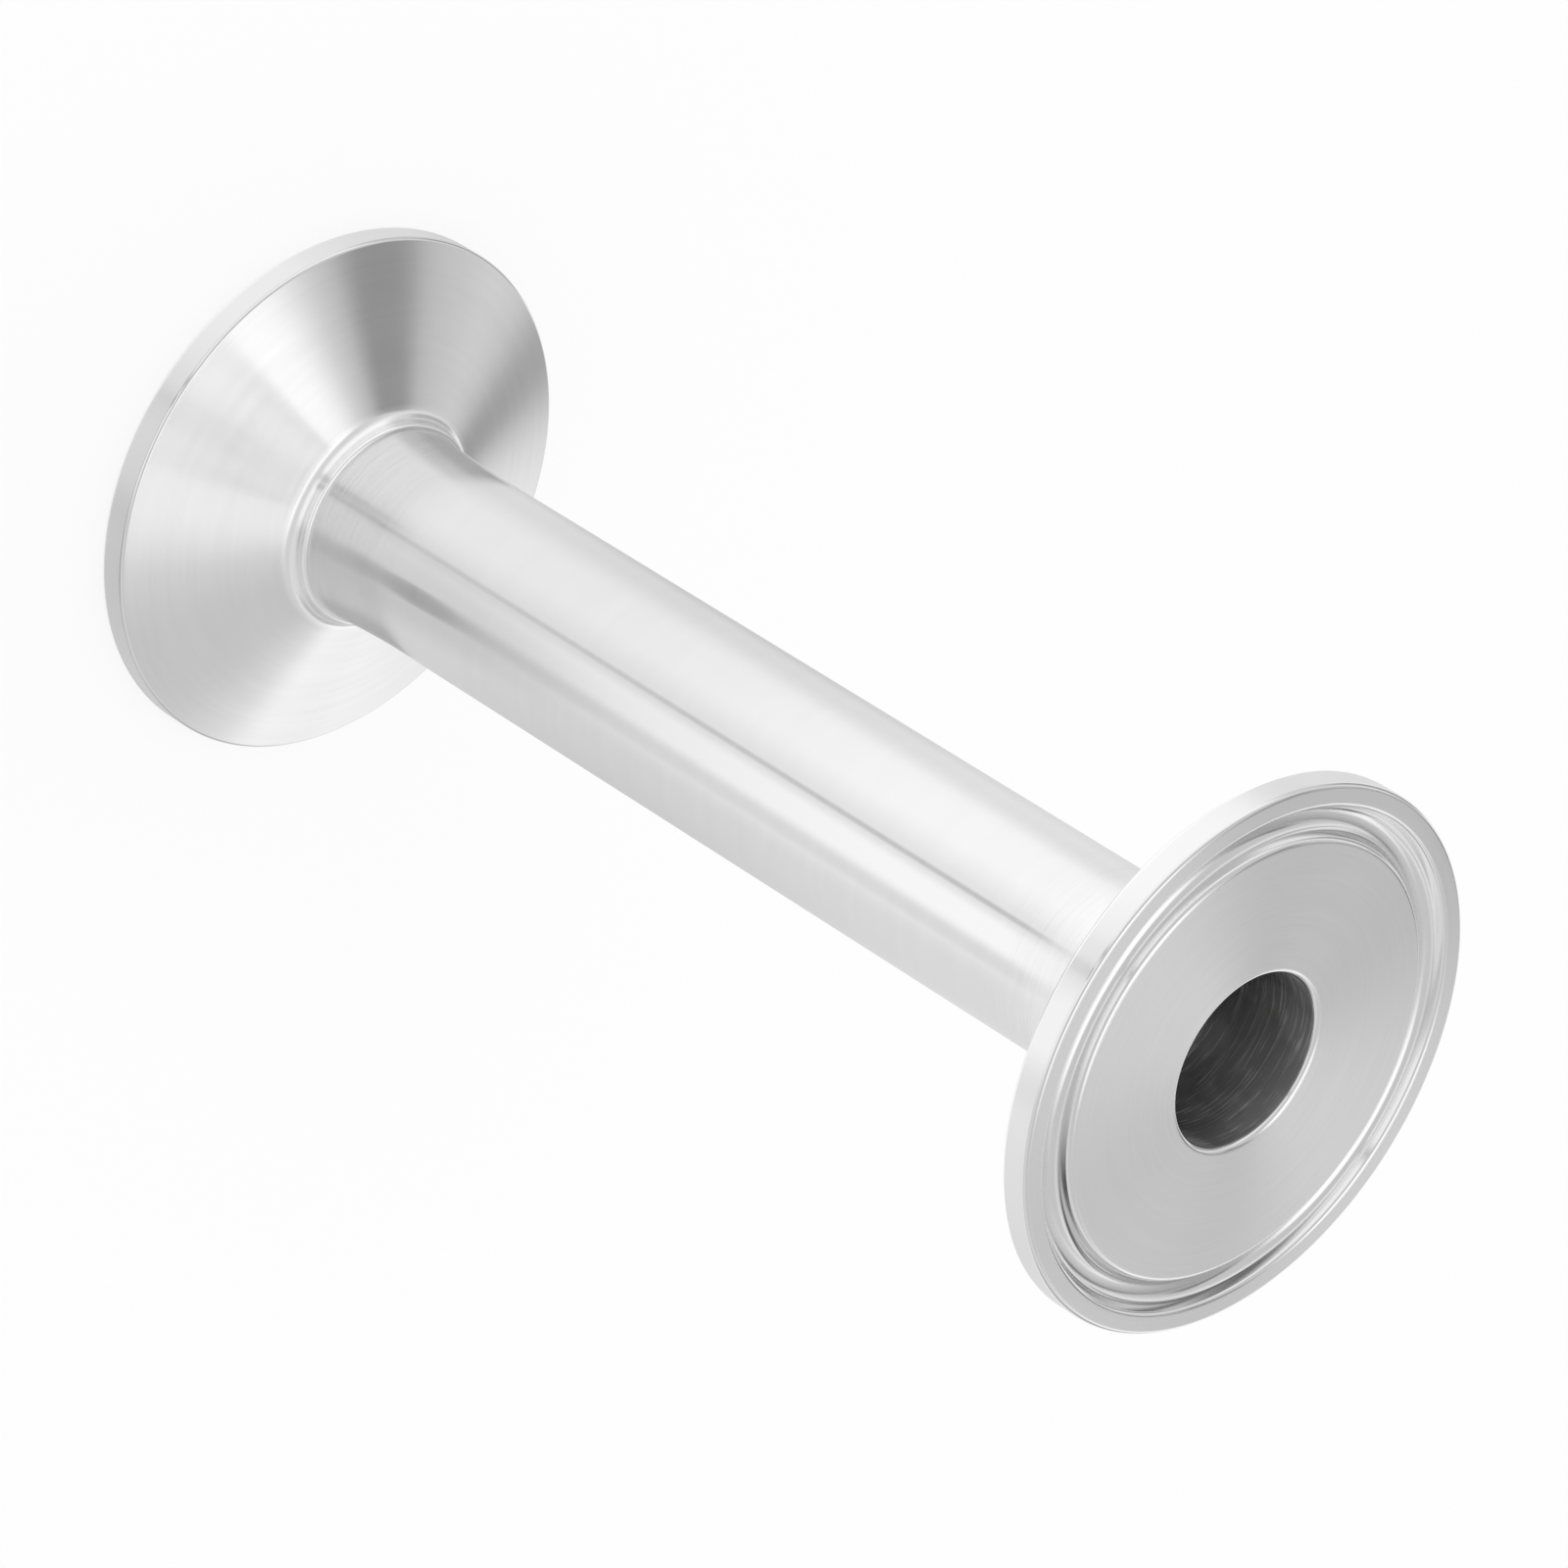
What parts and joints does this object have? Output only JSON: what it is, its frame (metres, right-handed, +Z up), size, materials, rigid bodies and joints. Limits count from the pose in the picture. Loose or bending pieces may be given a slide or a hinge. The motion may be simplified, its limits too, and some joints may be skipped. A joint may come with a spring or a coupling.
{
  "type": "sanitary spool pipe",
  "caption": "Straight stainless spool pipe: a slim polished tube with a grooved, cone-backed clamp ferrule welded on at each end.",
  "frame": {"origin": "centre of the lower ferrule's sealing face, on the pipe's axis, where the spool stands", "axes": "+Z up the pipe's axis from the lower sealing face to the upper one; X and Y are any two directions across it"},
  "size_m": [0.0506, 0.0504, 0.12],
  "materials": {
    "turned_steel": "turned stainless steel, fine circular tool marks, satin to bright",
    "polished_tube": "polished stainless tube, bright, with faint brushing round it near the ferrules"
  },
  "bodies": {
    "root": {"lower_ferrule": "turned_steel", "tube": "polished_tube", "upper_ferrule": "turned_steel"}
  },
  "joints": []
}
